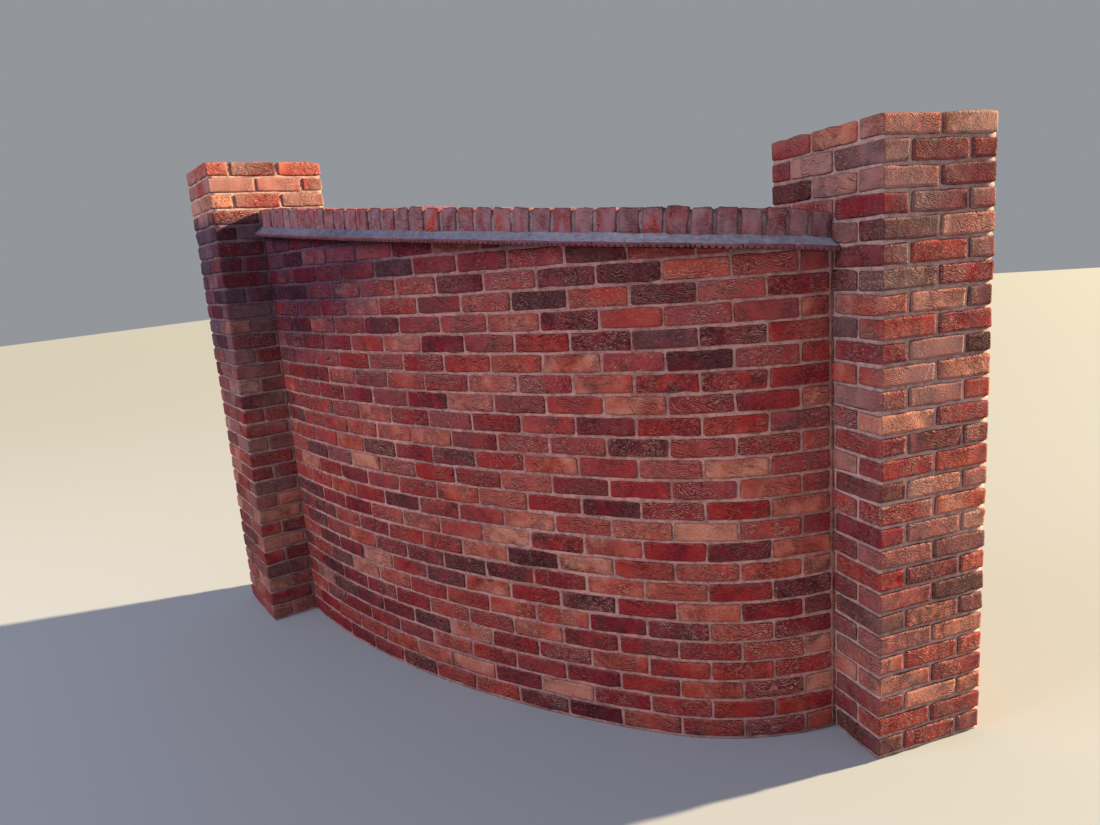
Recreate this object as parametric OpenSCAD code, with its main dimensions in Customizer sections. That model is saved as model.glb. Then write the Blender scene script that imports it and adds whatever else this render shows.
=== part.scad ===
// One bay of brick garden wall, curved on plan, between two brick piers.
// The wall is one brick thick. Its top is raked, and carries a creasing of
// ribbed clay tiles and a coping of bricks on edge, bedded in mortar.
// Millimetres, +Z up, standing on z = 0, with the show face toward -Y and
// the origin at the middle of the footprint.

/* [Bricks and mortar] */
// Length of a brick, which is also the thickness of the wall
brick_l = 215; // [200:1:230]
// Width of a brick, which is the height of the coping
brick_w = 102.5; // [95:0.5:110]
// Height of a brick in its course, and its width on edge
brick_h = 65; // [50:1:73]
// Mortar joint in the brickwork
joint = 10; // [6:0.5:14]

/* [Piers] */
// Courses in the left pier
left_courses = 31; // [22:1:36]
// Courses in the right pier
right_courses = 28; // [20:1:33]

/* [Wall] */
// Length of the wall's front face, from pier to pier
wall_l = 2822.5; // [2500:0.5:3400]
// Radius of the front face next to the left pier
long_r = 3700; // [2500:50:8000]
// Radius of the front face next to the right pier
tight_r = 900; // [700:10:1500]
// Segments laid to the long radius
long_segments = 7; // [5:1:8]
// Segments laid to the tight radius
tight_segments = 2; // [1:1:3]
// Depth from the top of the left pier to the underside of the creasing
left_drop = 350; // [200:5:600]
// Depth from the top of the right pier to the underside of the creasing
right_drop = 385; // [200:5:600]

/* [Creasing] */
// Thickness of a tile over its ribs
tile_t = 15; // [12:0.5:25]
// How far the tiles stand out from each face of the wall
tile_proj = 40; // [20:1:60]
// Tiles along one segment
tiles_per_segment = 2; // [1:1:3]
// Open joint between tiles
tile_joint = 3; // [1:0.5:8]
// Pitch of the ribs under a tile
rib_pitch = 22; // [18:1:40]
// Depth of the grooves between the ribs
rib_d = 5; // [1:0.5:6]

/* [Coping] */
// Bricks on edge along one segment
coping_per_segment = 4; // [3:1:4]
// Mortar bed between the tiles and the coping
bed_t = 9; // [6:0.5:15]
// Height of the mortar fillet where it meets the coping
fillet_h = 29; // [16:1:40]
// Bare tile left outside the fillet
tile_edge = 4; // [1:0.5:15]
// Depth of the joints between the coping bricks
joint_d = 4; // [1:0.5:10]
// Narrowest joint where the coping bricks crowd on the inside of the curve
least_joint = 4; // [2:0.5:8]

/* [Hidden] */
$fn = 360;

// Brickwork sizes
course = brick_h + joint;
pier_w = 2 * brick_l + joint;
pier_d = 2 * brick_l + brick_w + 2 * joint;
// The wall's face stands one brick and a joint behind the piers' faces.
set_back = brick_l + joint;
left_h = left_courses * course;
right_h = right_courses * course;

// Wall segments, numbered from the left pier
segments = long_segments + tight_segments;
segment_l = wall_l / segments;
// Where the two radii meet
spring = long_segments * segment_l;

// Heights of the brickwork's top at each end, and its slope
left_top = left_h - left_drop;
right_top = right_h - right_drop;
rake = (left_top - right_top) / wall_l;
rake_angle = atan(rake);

// Layers above the brickwork, measured square to the rake
coping_z = tile_t + bed_t;
// Past every face that a cut has to clear
over = 50;
// Turn in degrees by which a section runs on past its segment, to be cut flush
spare_turn = 2;

// Radius of the front face at distance s from the left pier
function face_r(s) = s < spring ? long_r : tight_r;
// Turn of the wall there, in degrees, where 0 faces -Y
function turn(s) = (s - spring) / face_r(s) * 180 / PI;
// Plan position on the front face, with the radii meeting at [0, 0]
function on_face(s) = face_r(s) * [sin(turn(s)), 1 - cos(turn(s))];
// Plan position of [x, y] measured along and into the wall from distance s
function from_face(s, p) =
    on_face(s) + [p.x * cos(turn(s)) - p.y * sin(turn(s)), p.x * sin(turn(s)) + p.y * cos(turn(s))];
function top_z(s) = left_top - rake * s;

// Segments are levelled and turned about their middles.
function seg_mid(i) = (i - 0.5) * segment_l;
function seg_r(i) = face_r(seg_mid(i));
function seg_turn(i) = segment_l / seg_r(i) * 180 / PI;

// The footprint's box, from the piers' corners and the creasing's front
corners = [
    for (y = [-set_back, pier_d - set_back]) each [
        from_face(0, [-pier_w, y]), from_face(0, [0, y]),
        from_face(wall_l, [0, y]), from_face(wall_l, [pier_w, y])
    ],
    [0, -tile_proj]
];
low = [min([for (c = corners) c.x]), min([for (c = corners) c.y])];
high = [max([for (c = corners) c.x]), max([for (c = corners) c.y])];
middle = (low + high) / 2;

// Stands its children at distance s from the left pier: x runs along the
// wall, y into it.
module at(s) {
    translate(concat(on_face(s) - middle, 0)) rotate([0, 0, turn(s)]) children();
}

// Lays its children on segment i's raked top, with z square to the rake.
module on_rake(i) {
    at(seg_mid(i)) translate([0, 0, top_z(seg_mid(i))]) rotate([0, rake_angle, 0]) children();
}

// The space that segment i's pieces keep to, between two upright joints
module segment_space(i, gap = 0) {
    half = seg_turn(i) / 2;
    r = seg_r(i);
    near = r + tile_proj + over;
    far = r - brick_l - tile_proj - over;
    at(seg_mid(i)) linear_extrude(left_h) polygon([
        [-near * sin(half) + gap, r - near * cos(half)],
        [near * sin(half) - gap, r - near * cos(half)],
        [far * sin(half) - gap, r - far * cos(half)],
        [-far * sin(half) + gap, r - far * cos(half)]
    ]);
}

// Carries a section round segment i's curve: its x is the distance in from
// the front face, its y the height.
module carried_round(i, spare = 0) {
    half = seg_turn(i) / 2 + spare;
    translate([0, seg_r(i), 0])
        rotate([0, 0, -90 - half])
            rotate_extrude(angle = 2 * half)
                translate([seg_r(i), 0]) mirror([1, 0]) children();
}

module left_pier() {
    color("firebrick") at(0) translate([-pier_w, -set_back, 0]) cube([pier_w, pier_d, left_h]);
}

module right_pier() {
    color("firebrick") at(wall_l) translate([0, -set_back, 0]) cube([pier_w, pier_d, right_h]);
}

// Brickwork, cut off under the creasing along the rake
module wall_segment(i) {
    color("brown") intersection() {
        at(seg_mid(i)) carried_round(i) square([brick_l, left_h]);
        on_rake(i) translate([-segment_l, -over, -left_h])
            cube([2 * segment_l, brick_l + 2 * over, left_h]);
    }
}

// One tile between two turns from the middle of its segment, in from the
// front edge by y0 and deep by d. Grooves half a pitch wide leave the ribs
// along its underside.
module ribbed_tile(r, a0, a1, y0, d) {
    near = r + tile_proj - y0;
    far = near - d;
    gap = tile_joint / 2;
    middle_turn = (a0 + a1) / 2;
    groove_half = rib_pitch / 4;
    // As many as fit between the tile's sides at its narrow end
    far_w = far * (a1 - a0) * PI / 180 - tile_joint;
    grooves = floor((far_w / 2 - groove_half) / rib_pitch);
    difference() {
        linear_extrude(tile_t) polygon([
            [near * sin(a0) + gap, r - near * cos(a0)],
            [near * sin(a1) - gap, r - near * cos(a1)],
            [far * sin(a1) - gap, r - far * cos(a1)],
            [far * sin(a0) + gap, r - far * cos(a0)]
        ]);
        translate([0, r, 0]) rotate([0, 0, middle_turn])
            for (k = [-grooves : grooves])
                translate([k * rib_pitch, -near - over, 0])
                    rotate([-90, 0, 0])
                        linear_extrude(d + 2 * over) polygon([
                            [-groove_half, over], [-groove_half, 0], [0, -rib_d],
                            [groove_half, 0], [groove_half, over]
                        ]);
    }
}

// Two rows of tiles, which meet over the middle of the wall
module creasing_tiles(i) {
    tile_d = brick_l / 2 + tile_proj - tile_joint / 2;
    step = seg_turn(i) / tiles_per_segment;
    color("indianred") intersection() {
        on_rake(i)
            for (k = [0 : tiles_per_segment - 1], row = [0, 1])
                ribbed_tile(seg_r(i), k * step - seg_turn(i) / 2, (k + 1) * step - seg_turn(i) / 2,
                    row * (tile_d + tile_joint), tile_d);
        segment_space(i, tile_joint / 2);
    }
}

// Bed under the coping, and the fillets that shed water off the tiles
module mortar_bed(i) {
    toe = tile_proj - tile_edge;
    color("rosybrown") intersection() {
        on_rake(i) translate([0, 0, tile_t]) carried_round(i, spare_turn) polygon([
            [-toe, 0], [0, fillet_h], [0, bed_t],
            [brick_l, bed_t], [brick_l, fillet_h], [brick_l + toe, 0]
        ]);
        segment_space(i);
    }
}

// One brick on edge, cut narrower at the back where the curve crowds it
module coping_brick(r, pitch) {
    front_w = min(brick_h, pitch - least_joint);
    back_w = min(brick_h, pitch * (r - brick_l) / r - least_joint);
    // The front arrises touch the curve, so the face lies just inside it.
    inset = r - sqrt(r * r - front_w * front_w / 4);
    linear_extrude(brick_w) polygon([
        [-front_w / 2, inset], [front_w / 2, inset],
        [back_w / 2, brick_l], [-back_w / 2, brick_l]
    ]);
}

// Bricks on edge with mortar between them, its joints raked back
module coping_bricks(i) {
    r = seg_r(i);
    pitch = segment_l / coping_per_segment;
    // Centres each brick in its place at mid height, because it leans.
    lean = (coping_z + brick_w / 2) * rake;
    color("darkred") intersection() {
        on_rake(i) translate([0, 0, coping_z]) union() {
            carried_round(i, spare_turn)
                translate([joint_d, 0]) square([brick_l - 2 * joint_d, brick_w - joint_d]);
            for (k = [0 : coping_per_segment - 1])
                translate([-lean, r, 0])
                    rotate([0, 0, (k + 0.5) / coping_per_segment * seg_turn(i) - seg_turn(i) / 2])
                        translate([0, -r, 0]) coping_brick(r, pitch);
        }
        segment_space(i);
    }
}

left_pier();
right_pier();
for (i = [1:segments]) {
    wall_segment(i);
    creasing_tiles(i);
    mortar_bed(i);
    coping_bricks(i);
}
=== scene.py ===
import bpy
import numpy as np
from mathutils import Matrix, Vector


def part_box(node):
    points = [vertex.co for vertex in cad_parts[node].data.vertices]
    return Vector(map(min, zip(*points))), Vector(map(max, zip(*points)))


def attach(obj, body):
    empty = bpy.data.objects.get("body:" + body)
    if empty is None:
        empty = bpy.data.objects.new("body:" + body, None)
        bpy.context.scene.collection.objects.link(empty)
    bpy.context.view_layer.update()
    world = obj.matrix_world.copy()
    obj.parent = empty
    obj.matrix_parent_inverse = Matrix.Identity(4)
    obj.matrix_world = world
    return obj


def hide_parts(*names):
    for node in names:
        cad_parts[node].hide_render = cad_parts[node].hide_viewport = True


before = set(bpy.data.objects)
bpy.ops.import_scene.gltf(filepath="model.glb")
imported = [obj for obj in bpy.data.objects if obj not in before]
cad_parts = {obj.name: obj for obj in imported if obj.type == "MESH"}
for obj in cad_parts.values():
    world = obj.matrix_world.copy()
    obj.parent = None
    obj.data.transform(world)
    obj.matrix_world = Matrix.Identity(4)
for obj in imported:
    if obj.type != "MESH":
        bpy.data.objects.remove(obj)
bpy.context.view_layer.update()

# Brickwork of the piers
# Handmade facing bricks of red clay, 215 x 102.5 x 65 mm, creased and sanded where the clay was
# thrown into its mould. Each course is two bricks by two and a half, turned end for end on the
# one below. The bricks are joined into lifts of three courses.
BRICK_L, BRICK_W, BRICK_H = 0.215, 0.1025, 0.065
JOINT = 0.010
COURSE = BRICK_H + JOINT
LIFT = 3
PIER_W = 2 * BRICK_L + JOINT
PIER_D = 2 * BRICK_L + BRICK_W + 2 * JOINT
# How far the wall's face stands behind the faces of the piers
SET_BACK = BRICK_L + JOINT
# The wall between the piers: the length of its face, its radii on either side of SPRING, and the
# segments that its length is divided into, in all and up to SPRING
WALL_L = 2.8225
LONG_R, TIGHT_R = 3.7, 0.9
SEGMENTS, LONG_SEGMENTS = 9, 7
SPRING = WALL_L * LONG_SEGMENTS / SEGMENTS
# How far the tiles of the creasing stand out from the wall
TILE_PROJ = 0.040
# Where a brick's sides have points, from -1 to 1 between the arrises: along its length, across its
# end and up its height. The points next to the arrises keep the face between them flat.
LONG_STOPS = (-1, -0.93, -0.56, -0.19, 0.19, 0.56, 0.93, 1)
SHORT_STOPS = (-1, -0.86, 0.86, 1)
HIGH_STOPS = (-1, -0.8, 0.8, 1)
# Rings of points on a top that shows from above, from its arris at 0 to its middle at 1
TOP_INSETS = (0.35, 0.7, 0.92)
# Of a brick's sides, front, right, back and left, only those that show have points of their own.
FACE = (LONG_STOPS, (), (), ())
RIGHT_CORNER = (LONG_STOPS, SHORT_STOPS, (), ())
LEFT_CORNER = (LONG_STOPS, (), (), SHORT_STOPS)
ALL_ROUND = (LONG_STOPS, SHORT_STOPS) * 2
ARRIS = 0.0042
# How much smaller than their standard size the bricks come, and how far that varies
SHRINKAGE, UNEVEN = 0.0012, 0.0011
# How much lower a brick's ends are than its middle, as a share of its height: least and most
LOW_ENDS = (0.02, 0.14)
# Height and pitch of a brick's waves: over its faces, along its arrises, and of its whole shape
FACE_WAVE, ARRIS_WAVE, SHAPE_WAVE = (0.0014, 0.09), (0.0013, 0.035), (0.0011, 0.07)
# How far in a hollow in a brick's face may go, which keeps it clear of the mortar behind it
DEEPEST = 0.0015
# Folds in creased clay, least and most: their pitch, how far from the brick's middle they rise,
# and how sharply
FOLD_PITCH, FOLD_MIDDLE, FOLD_RISE = (0.024, 0.040), (-0.07, 0.07), (0.0, 4.0)
# Each brick reads the patterns of the clay at a place of its own, up to this far off.
CLAY_SPREAD = 30.0
# How far off true the bricks are laid, in radians: turned on plan, and tipped sideways
TWIST, TIP = 0.003, 0.004
draw = np.random.default_rng(65)


def radius(s):
    """Radius of the wall's front face at distance s along it from the left pier."""
    return np.where(s < SPRING, LONG_R, TIGHT_R)


def turn(s):
    """Turn of the front face there: its distance past SPRING over its radius."""
    return (s - SPRING) / radius(s)


def set_out(s, x, y):
    """Plan position of a point x along and y into the wall from distance s on its front face:
    radius * (sin turn, 1 - cos turn) + x * (cos turn, sin turn) + y * (-sin turn, cos turn)."""
    r, a = radius(s), turn(s)
    return np.stack([
        r * np.sin(a) + x * np.cos(a) - y * np.sin(a),
        r * (1 - np.cos(a)) + x * np.sin(a) + y * np.cos(a),
    ], axis=-1)


# For each pier, the distance along the wall's face that it stands at, and where its left side is
# from there. The origin is the middle of the box round the piers and the tiles' foremost edge.
PIERS = {"left_pier": (0.0, -PIER_W), "right_pier": (WALL_L, 0.0)}
footprint = np.array([set_out(SPRING, 0, -TILE_PROJ)] + [
    set_out(s, x + across, y)
    for s, x in PIERS.values() for across in (0, PIER_W) for y in (-SET_BACK, PIER_D - SET_BACK)
])
MIDDLE = (footprint.min(axis=0) + footprint.max(axis=0)) / 2


def waves(points, height, pitch, count=6):
    """Smooth random relief of about this height and pitch for points[shape, ...]: the sum of plane
    waves sin(way . point + phase), each shape with ways and phases of its own."""
    shapes = len(points)
    way = draw.normal(size=(shapes, count, 3))
    way *= 2 * np.pi / pitch / np.linalg.norm(way, axis=-1, keepdims=True)
    phase = draw.uniform(0, 2 * np.pi, (shapes, 1, 1, count))
    total = np.sin(np.einsum("srpc,swc->srpw", points, way) + phase).sum(axis=-1)
    return height * (total / count ** 0.5)


def side_axes(quarter):
    """Directions on plan, outward and along, of side 0 to 3, which are front, right, back, left."""
    a = np.radians(90 * quarter - 90)
    return np.array([np.cos(a), np.sin(a)]), np.array([-np.sin(a), np.cos(a)])


# Room on a map for an arris and for each ring of a top, where a whole side has 2
ARRIS_ROOM, TOP_ROOM = 0.15, 0.6


def outline(sides, rounded):
    """Points round a brick on plan, counter-clockwise from its front left corner: the corner that
    each is measured from, -1 to 1 across and in, its outward direction, whether it lies in a
    joint, and its share of the way round a map. A corner is cut off square to its diagonal where
    a side that shows meets the next, and a rounded one has a point of its own."""
    corner, out, jointed, room = [], [], [], []
    for quarter, stops in enumerate(sides):
        way, along = side_axes(quarter)
        before, after = sides[quarter - 1], sides[(quarter + 1) % 4]
        t = np.array(stops or [-1] * bool(before) + [1] * bool(after), float)
        corner.append(way + t[:, None] * along)
        out.append(np.tile(way, (len(t), 1)))
        jointed += [not stops] * len(t)
        room += [*np.diff(stops), ARRIS_ROOM] if stops else [ARRIS_ROOM] * len(t)
        if rounded or not (stops or after):
            corner.append([way + along])
            out.append([(way + along) / (2 ** 0.5 if rounded else 1)])
            jointed.append(True)
            room.append(ARRIS_ROOM)
    share = np.concatenate([[0], np.cumsum(room)]) / np.sum(room)
    return np.concatenate(corner), np.concatenate(out), np.array(jointed), share


def rings(stops, insets, rounded):
    """Rings up a brick from bed to top: height -1 to 1, upward tilt of its outward direction, how
    far in from the arris it lies, 0 to 1, and its share of the way up the map."""
    ease, arris = [45] * rounded, 1 + rounded
    height = np.array([-1] * arris + list(stops) + [1] * (arris + len(insets)))
    tilt = [-90] + [-a for a in ease] + [0] * len(stops) + ease + [90] * (1 + len(insets))
    inset = np.array([0] * (len(stops) + 2 * arris) + list(insets))
    room = [ARRIS_ROOM] * arris + list(np.diff(stops)) + [ARRIS_ROOM] * arris + [TOP_ROOM] * len(insets)
    return height, np.radians(tilt), inset, np.concatenate([[0], np.cumsum(room)]) / np.sum(room)


def folded(points):
    """Where points lie among the folds of creased clay: their height over the pitch of the folds,
    and their distance from the middle of a fold, whose square is how far its smile has risen."""
    def each(limits):
        return draw.uniform(*limits, (len(points), 1, 1))

    x, y, z = np.moveaxis(points, -1, 0)
    pitch = each(FOLD_PITCH)
    row = z / pitch + each((0, 1))
    rise = (x + y - each(FOLD_MIDDLE)) * (each(FOLD_RISE) / pitch) ** 0.5
    return row, rise


# Tones of the clay from buff at 0 to overfired at 1, how far a brick strays from its own tone, and
# the shares of the wall's and the piers' bricks that come out buff, orange, red, crimson, plum and
# brindled
TONES = [0.04, 0.20, 0.38, 0.54, 0.70, 0.88]
STRAY = 0.045
MIXED = [0.06, 0.13, 0.29, 0.27, 0.16, 0.09]
PIER_MIXED = [0.20, 0.09, 0.15, 0.22, 0.24, 0.10]
# How much of a brick is brindled: its mean, its spread, and how much more above an overfired tone
BRINDLED, BRINDLED_SPREAD, BRINDLED_MORE = 0.1, 0.18, 0.25
OVERFIRED = 0.7


def fired(count, shares=MIXED):
    """A firing for each brick: its tone from buff at 0 through red to purple at 1, how much of it
    is brindled, and how sandy it is, which is seldom much."""
    tone = draw.choice(TONES, count, p=shares)
    tone = np.clip(tone + draw.normal(0, STRAY, count), 0, 1)
    brindle = draw.normal(BRINDLED, BRINDLED_SPREAD, count) + BRINDLED_MORE * (tone > OVERFIRED)
    return np.stack([tone, np.clip(brindle, 0, 1), draw.uniform(0, 1, count) ** 1.5], axis=-1)


def bricks(size, middle, way, sides, stops=HIGH_STOPS, insets=(), rounded=False, arris=ARRIS,
           shares=MIXED, bend=None):
    """Bricks of these sizes, each turned by its way[brick, axis, xyz] about its middle. A point is
    corner * (half the size - arris) + arris * outward, pushed outward by slow waves, and by
    quicker ones at the arrises. A bend moves it in by bend * x * x / 2."""
    corner, out, jointed, across = outline(sides, rounded)
    height, tilt, inset, up = rings(stops, insets, rounded)
    half = size[:, None, None] / 2 - arris
    narrow = half[..., :2].min(axis=-1, keepdims=True)
    level = np.cos(tilt)[:, None, None] * out
    upward = np.broadcast_to(np.sin(tilt)[:, None, None], level[..., :1].shape)
    outward = np.concatenate([level, upward], axis=-1)
    plan = corner * (half[..., :2] - inset[:, None, None] * narrow)
    high = np.broadcast_to(height[:, None, None] * half[..., 2:], plan[..., :1].shape)
    points = np.concatenate([plan, high], axis=-1) + arris * outward
    # The ends are a little lower than the middle, so that a face has rounded corners.
    ends = abs(points[..., 0] / size[:, 0, None, None] * 2) ** 10
    points[..., 2] *= 1 - draw.uniform(*LOW_ENDS, (len(size), 1, 1)) * ends
    # The arrises and the sides in joints: their waves are wear, and their darkening is dirt and painted
    # shade.
    worn_and_shaded = np.broadcast_to(((tilt != 0) & (inset == 0))[:, None] | jointed, points.shape[:3])
    row, rise = folded(points)
    relief = waves(points, *FACE_WAVE) + worn_and_shaded * waves(points, *ARRIS_WAVE)
    relief = np.maximum(relief, -DEEPEST)
    clay = points + draw.uniform(0, CLAY_SPREAD, (len(points), 1, 1, 3))
    warp = np.stack([waves(points, *SHAPE_WAVE) for _ in range(3)], axis=-1)
    points = points + relief[..., None] * outward + warp
    if bend is not None:
        points[..., 1] += bend[:, None, None] * points[..., 0] ** 2 / 2
    place = np.einsum("srpc,scw->srpw", points, way) + middle[:, None, None]
    fire = np.broadcast_to(fired(len(points), shares)[:, None, None], points.shape)
    folds = np.stack([row, rise, worn_and_shaded], axis=-1)
    return {"points": place, "clay": clay, "firing": fire, "folds": folds,
            "across": across, "up": up, "local": points}


# A shape's cell of the map is this much wider than high. Its sides lie from SIDES_FROM over
# SIDES_SPAN of the cell, and its bed and top lie below them, as ovals of this half size.
CELL_ASPECT = 3.5
SIDES_FROM, SIDES_SPAN = (0.02, 0.12), (0.96, 0.85)
BED_MIDDLE, TOP_MIDDLE, OVAL_HALF = (0.25, 0.05), (0.75, 0.05), (0.2, 0.04)


def joined(name, material, groups):
    """One mesh of groups of like shapes, points[shape, ring, place, xyz]: quads join each ring to
    the next, a face closes each end, and each shape has a cell of the map to itself."""
    corners, sizes, uvs, first, cell = [], [], [], 0, 0
    cells = sum(len(group["points"]) for group in groups)
    columns = int(np.ceil((cells / CELL_ASPECT) ** 0.5))
    rows = -(-cells // columns)
    for group in groups:
        shapes, high, around = group["points"].shape[:3]
        index = first + np.arange(shapes * high * around).reshape(shapes, high, around)
        first += index.size
        after = np.roll(index, -1, axis=2)
        corners += [
            np.stack([index[:, :-1], after[:, :-1], after[:, 1:], index[:, 1:]], axis=-1).ravel(),
            index[:, 0, ::-1].ravel(), index[:, -1].ravel(),
        ]
        sizes += [np.full(shapes * (high - 1) * around, 4), np.full(2 * shapes, around)]
        row, column = np.divmod(cell + np.arange(shapes), columns)
        cell += shapes
        u = SIDES_FROM[0] + SIDES_SPAN[0] * group["across"]
        v = SIDES_FROM[1] + SIDES_SPAN[1] * group["up"]
        quad_u = np.stack([u[:-1], u[1:], u[1:], u[:-1]], axis=-1)
        quad_v = np.stack([v[:-1], v[:-1], v[1:], v[1:]], axis=-1)
        quad = np.stack(np.broadcast_arrays(quad_u[None], quad_v[:, None]), axis=-1)
        a = 2 * np.pi * group["across"][:-1]
        oval = np.stack([np.cos(a), np.sin(a)], axis=-1) * OVAL_HALF
        start, scale = np.stack([column, row], axis=-1), np.array([columns, rows])
        uvs += [
            ((start[:, None, None, None] + quad) / scale).reshape(-1, 2),
            ((start[:, None] + (oval[::-1] + BED_MIDDLE)) / scale).reshape(-1, 2),
            ((start[:, None] + (oval + TOP_MIDDLE)) / scale).reshape(-1, 2),
        ]
    corners, sizes = np.concatenate(corners), np.concatenate(sizes)

    def gathered(kind):
        return np.concatenate([group[kind].reshape(-1) for group in groups])

    mesh = bpy.data.meshes.new(name)
    mesh.vertices.add(first)
    mesh.vertices.foreach_set("co", gathered("points"))
    mesh.loops.add(len(corners))
    mesh.loops.foreach_set("vertex_index", corners)
    mesh.polygons.add(len(sizes))
    mesh.polygons.foreach_set("loop_start", np.cumsum(sizes) - sizes)
    mesh.update(calc_edges=True)
    mesh.uv_layers.new(name="OFBake").uv.foreach_set("vector", np.concatenate(uvs).reshape(-1))
    for kind in ("clay", "firing", "folds"):
        if kind in groups[0]:
            attribute = mesh.attributes.new(kind, "FLOAT_VECTOR", "POINT")
            attribute.data.foreach_set("vector", gathered(kind))
    mesh.shade_smooth()
    mesh.materials.append(material)
    piece = bpy.data.objects.new(name, mesh)
    bpy.context.scene.collection.objects.link(piece)
    return piece


def turned(angle):
    """Axes, as rows, of shapes turned on plan by these angles, each a little off true."""
    a = angle + draw.normal(0, TWIST, len(angle))
    tip = draw.normal(0, TIP, len(angle))
    zero, one = np.zeros_like(a), np.ones_like(a)
    return np.stack([
        np.stack([np.cos(a), np.sin(a), tip], axis=-1),
        np.stack([-np.sin(a), np.cos(a), zero], axis=-1),
        np.stack([-tip * np.cos(a), -tip * np.sin(a), one], axis=-1),
    ], axis=1)


# Bricks round one course of a pier: the sides that show, the brick's middle across and in from the
# pier's middle, and its quarter turns
SIDE, DEEP, BACK = (PIER_W - BRICK_W) / 2, BRICK_L + JOINT, (PIER_D - BRICK_L) / 2
COURSE_BRICKS = [
    (LEFT_CORNER, -DEEP / 2, (BRICK_W - PIER_D) / 2, 0),
    (RIGHT_CORNER, DEEP / 2, (BRICK_W - PIER_D) / 2, 0),
    (FACE, SIDE, BACK - DEEP, 1),
    (RIGHT_CORNER, SIDE, BACK, 1),
    (FACE, 0, (PIER_D - BRICK_W) / 2, 2),
    (LEFT_CORNER, -SIDE, BACK, 3),
    (FACE, -SIDE, BACK - DEEP, 3),
]


class Socket:
    """An output in a material's nodes. Arithmetic on it adds Math nodes, so that a pattern reads
    as its formula. One that is made from the tree alone only adds nodes."""

    def __init__(self, tree, output=None):
        self.tree, self.output = tree, output

    def node(self, kind, settings=None, inputs=None, output=0):
        """Adds a node: its settings first, with a ramp's stops as (place, colour) pairs, then its
        inputs by name or number, each a value or a socket. Gives the output asked for."""
        made = self.tree.nodes.new(kind)
        for name, value in (settings or {}).items():
            if name == "stops":
                ramp = made.color_ramp.elements
                while len(ramp) < len(value):
                    ramp.new(0.5)
                for stop, (place, colour) in zip(ramp, value):
                    stop.position, stop.color = place, (*colour, 1)
            else:
                setattr(made, name, value)
        for name, value in (inputs or {}).items():
            if isinstance(value, Socket):
                self.tree.links.new(value.output, made.inputs[name])
            else:
                made.inputs[name].default_value = value
        return Socket(self.tree, made.outputs[output])

    def maths(self, operation, *values):
        """A Math node's operation on values, each a number or a socket."""
        return self.node("ShaderNodeMath", {"operation": operation}, dict(enumerate(values)))

    def __add__(self, other):
        return self.maths("ADD", self, other)

    def __sub__(self, other):
        return self.maths("SUBTRACT", self, other)

    def __rsub__(self, other):
        return self.maths("SUBTRACT", other, self)

    def __mul__(self, other):
        return self.maths("MULTIPLY", self, other)

    def __abs__(self):
        return self.maths("ABSOLUTE", self)

    __radd__, __rmul__ = __add__, __mul__

    def place(self):
        """Where on the wall a point is, in metres."""
        return self.node("ShaderNodeTexCoord", output="Object")

    def attribute(self, name):
        """What the mesh holds under this name at each point."""
        return self.node("ShaderNodeAttribute", {"attribute_name": name}, output="Vector")

    def part(self, axis):
        """One of this vector's three parts, 0 to 2."""
        return self.node("ShaderNodeSeparateXYZ", {}, {0: self}, axis)

    def stretched(self, *by):
        """This vector or colour times a number for each of its parts."""
        return self.node("ShaderNodeVectorMath", {"operation": "MULTIPLY"}, {0: self, 1: by})

    def noise(self, scale, detail=2.0, distortion=0.0):
        """Noise about 0.5 over this vector, scale times to the metre."""
        return self.node("ShaderNodeTexNoise", {}, {
            "Vector": self, "Scale": scale, "Detail": detail, "Distortion": distortion})

    def rise(self, low, high):
        """0 below low, 1 above high, and a smooth step between."""
        return self.node("ShaderNodeMapRange", {"interpolation_type": "SMOOTHSTEP"}, {
            "Value": self, "From Min": low, "From Max": high})

    def ramp(self, *stops):
        """A colour that runs through these (place, colour) stops."""
        return self.node("ShaderNodeValToRGB", {"stops": stops}, {0: self})

    def mix(self, colour, other):
        """The first colour where this is 0 and the other where it is 1."""
        return self.node("ShaderNodeMix", {"data_type": "RGBA"}, {0: self, 6: colour, 7: other}, 2)


# Fired clay and mortar are matt, and reflect little at a grazing angle.
SPECULAR = 0.06


def finish(colour, roughness, height):
    """A matt material: its colour and roughness, and relief from a height in metres."""
    tree = colour.tree
    shader = tree.nodes["Principled BSDF"]
    normal = colour.node("ShaderNodeBump", {}, {"Height": height, "Distance": 1.0, "Strength": 1.0})
    for name, value in (("Base Color", colour), ("Roughness", roughness), ("Normal", normal)):
        tree.links.new(value.output, shader.inputs[name])
    shader.inputs["Specular IOR Level"].default_value = SPECULAR


def new_material(name):
    """A new material, and a socket that adds nodes to it."""
    material = bpy.data.materials.new(name)
    material.use_nodes = True
    return material, Socket(material.node_tree)


# Linear colours of the clay as it comes from the kiln, from underfired to overfired
BUFF, ORANGE, RED = (0.56, 0.225, 0.165), (0.43, 0.072, 0.050), (0.325, 0.021, 0.022)
CRIMSON, PLUM, BRINDLE = (0.215, 0.012, 0.024), (0.112, 0.011, 0.022), (0.048, 0.010, 0.017)
# Moulding sand, which also paints highlights on the bricks' crests, pale specks in it, and the
# film that mortar leaves on the wall's bricks
SAND, SPECK = (0.56, 0.26, 0.225, 1), (0.74, 0.58, 0.52, 1)
JOINT_GREY = (0.38, 0.215, 0.220, 1)


def painted_shade(paint):
    """How shaded the brickwork is, 0 to 1: most under the upper end of the coping, in clouds, and
    a little over the whole of its upper half. It stands in for shade that the lamps don't make,
    on every side alike, and ends where the pier rises past the coping into the sun."""
    place = paint.place()
    height = place.part(2) - place.part(0) * 0.35 + (place.noise(1.8, 3) - 0.5) * 0.9
    sunlit = place.part(2).rise(2.02, 2.10)
    return (height.rise(1.55, 2.20) + place.part(2).rise(0.9, 1.8) * 0.25) * (1 - sunlit)


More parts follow.
